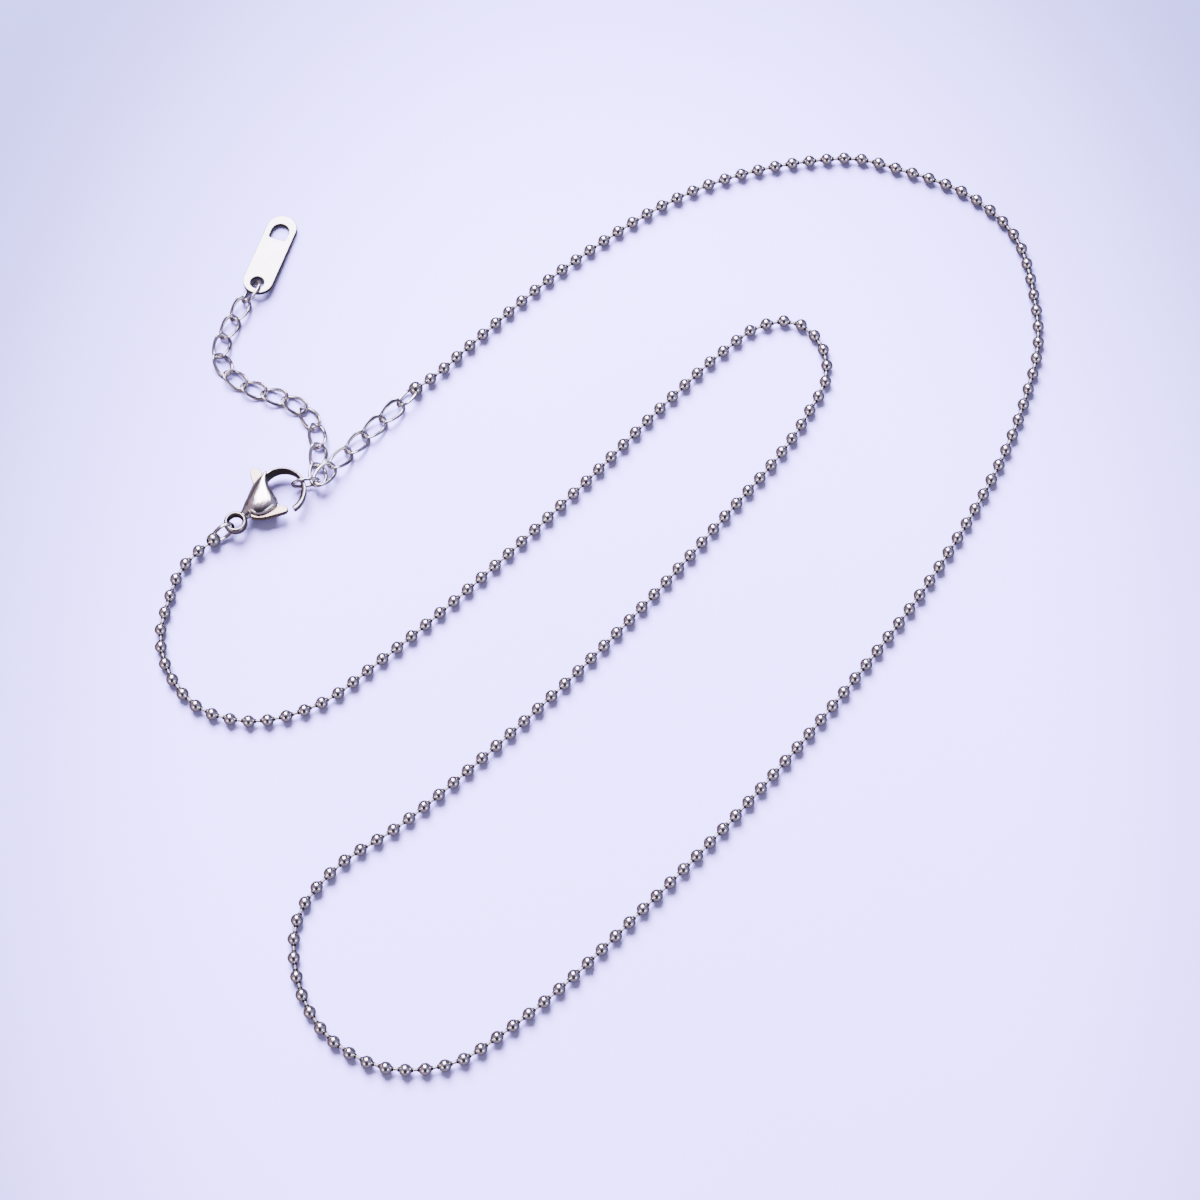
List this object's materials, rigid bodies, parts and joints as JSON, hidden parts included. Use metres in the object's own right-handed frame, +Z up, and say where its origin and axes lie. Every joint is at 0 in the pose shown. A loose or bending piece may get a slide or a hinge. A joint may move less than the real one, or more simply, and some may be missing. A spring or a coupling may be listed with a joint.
{
  "type": "ball chain necklace",
  "caption": "Ball chain necklace lying in a loose loop, closed by a lobster clasp on a link extender with a small tag.",
  "frame": {"origin": "middle of the loop's bounding box, on the surface that it lies on", "axes": "+Z up from the surface, +Y away from the viewer of the picture, +X to the right"},
  "size_m": [0.1158, 0.1282, 0.0032],
  "materials": {
    "ball_steel": "polished",
    "wire_steel": "drawn",
    "cup_steel": "polished",
    "cast_steel": "polished cast",
    "plate_steel": "polished stamped",
    "lever_steel": "polished stamped",
    "pin_steel": "turned",
    "link_steel": "polished wire"
  },
  "bodies": {
    "root": {"ball_chain": "ball_steel", "chain_wire": "wire_steel", "end_cup_clasp": "cup_steel", "end_cup_extender": "cup_steel", "clasp_body": "cast_steel", "clasp_pin": "pin_steel", "tag": "plate_steel", "extender_link_01": "link_steel", "extender_link_02": "link_steel", "extender_link_03": "link_steel", "extender_link_04": "link_steel", "extender_link_05": "link_steel", "extender_link_06": "link_steel", "extender_link_07": "link_steel", "extender_link_08": "link_steel", "extender_link_09": "link_steel", "extender_link_10": "link_steel", "extender_link_11": "link_steel", "extender_link_12": "link_steel", "extender_link_13": "link_steel", "extender_link_14": "link_steel", "extender_link_15": "link_steel", "extender_link_16": "link_steel", "extender_link_17": "link_steel", "extender_link_18": "link_steel", "extender_link_19": "link_steel"},
    "lever": {"clasp_lever": "lever_steel"}
  },
  "joints": [
    {"name": "clasp_lever_hinge", "type": "hinge", "parent": "root", "child": "lever", "pos_m": [-0.04458, 0.01141, 0.0016], "axis": [0, 0, 1], "range_deg": [0, 20], "stiffness_Nm_per_rad": 0.0015, "springref_deg": -5.73}
  ]
}
